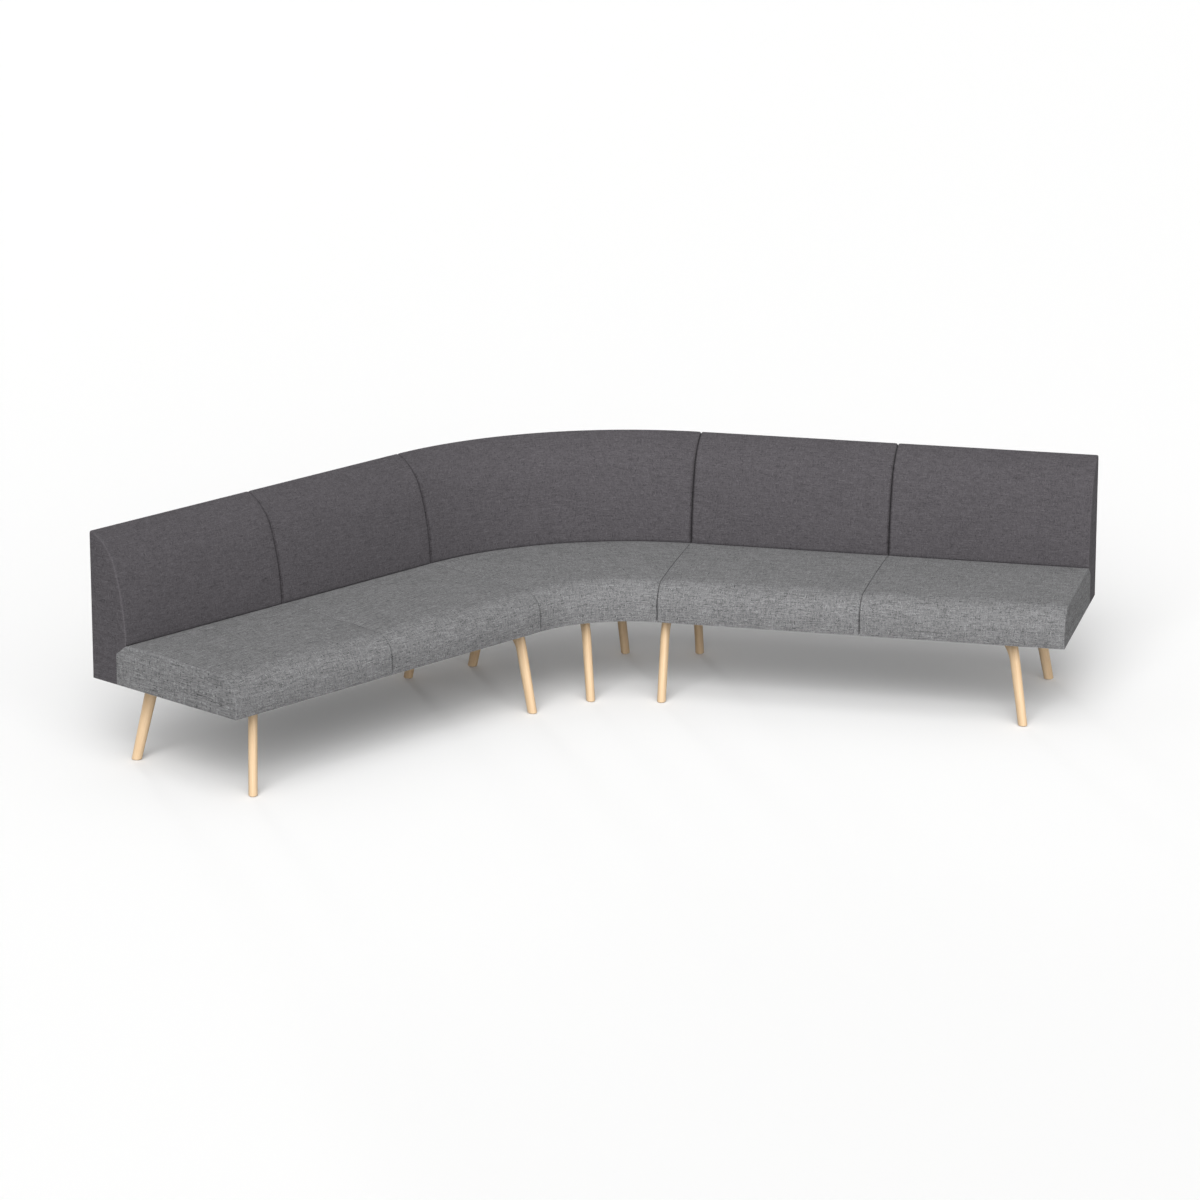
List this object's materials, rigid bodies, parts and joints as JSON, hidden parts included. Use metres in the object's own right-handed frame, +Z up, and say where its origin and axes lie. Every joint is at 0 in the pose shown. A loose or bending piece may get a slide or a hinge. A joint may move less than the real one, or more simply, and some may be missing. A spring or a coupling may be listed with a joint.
{
  "type": "corner sofa",
  "caption": "Corner sofa with straight wings either side of a curved corner, upholstered seats and curved backs, on splayed pale wooden legs.",
  "frame": {"origin": "on the floor, below the middle of the box around the sofa", "axes": "+X along the sofa's width, to the right for someone who looks at its seats; -Y the way the corner seat faces; +Z up"},
  "size_m": [3.522, 1.4449, 0.795],
  "materials": {
    "seat_fabric": "flecked mid-grey weave",
    "back_fabric": "dark grey weave",
    "foam": "open-cell upholstery foam",
    "dust_cloth": "black non-woven cloth",
    "plywood": "raw plywood",
    "leg_wood": "clear satin lacquer on pale wood",
    "glide_plastic": "matt",
    "steel": "black powder coat"
  },
  "bodies": {
    "root": {"back_brackets": "steel", "bracket_screws": "steel", "corner_back_board": "plywood", "corner_back_cover": "back_fabric", "corner_back_foam": "foam", "corner_base_board": "plywood", "corner_dust_cover": "dust_cloth", "corner_front_leg": "leg_wood", "corner_rear_left_leg": "leg_wood", "corner_rear_right_leg": "leg_wood", "corner_seat_cover": "seat_fabric", "corner_seat_foam": "foam", "foot_glides": "glide_plastic", "joint_plates": "steel", "left_back_board": "plywood", "left_base_board": "plywood", "left_dust_cover": "dust_cloth", "left_front_inner_leg": "leg_wood", "left_front_outer_leg": "leg_wood", "left_inner_back_cover": "back_fabric", "left_inner_back_foam": "foam", "left_inner_seat_cover": "seat_fabric", "left_inner_seat_foam": "foam", "left_outer_back_cover": "back_fabric", "left_outer_back_foam": "foam", "left_outer_seat_cover": "seat_fabric", "left_outer_seat_foam": "foam", "left_rear_inner_leg": "leg_wood", "left_rear_outer_leg": "leg_wood", "leg_plates": "steel", "leg_screws": "steel", "right_back_board": "plywood", "right_base_board": "plywood", "right_dust_cover": "dust_cloth", "right_front_inner_leg": "leg_wood", "right_front_outer_leg": "leg_wood", "right_inner_back_cover": "back_fabric", "right_inner_back_foam": "foam", "right_inner_seat_cover": "seat_fabric", "right_inner_seat_foam": "foam", "right_outer_back_cover": "back_fabric", "right_outer_back_foam": "foam", "right_outer_seat_cover": "seat_fabric", "right_outer_seat_foam": "foam", "right_rear_inner_leg": "leg_wood", "right_rear_outer_leg": "leg_wood"}
  },
  "joints": []
}
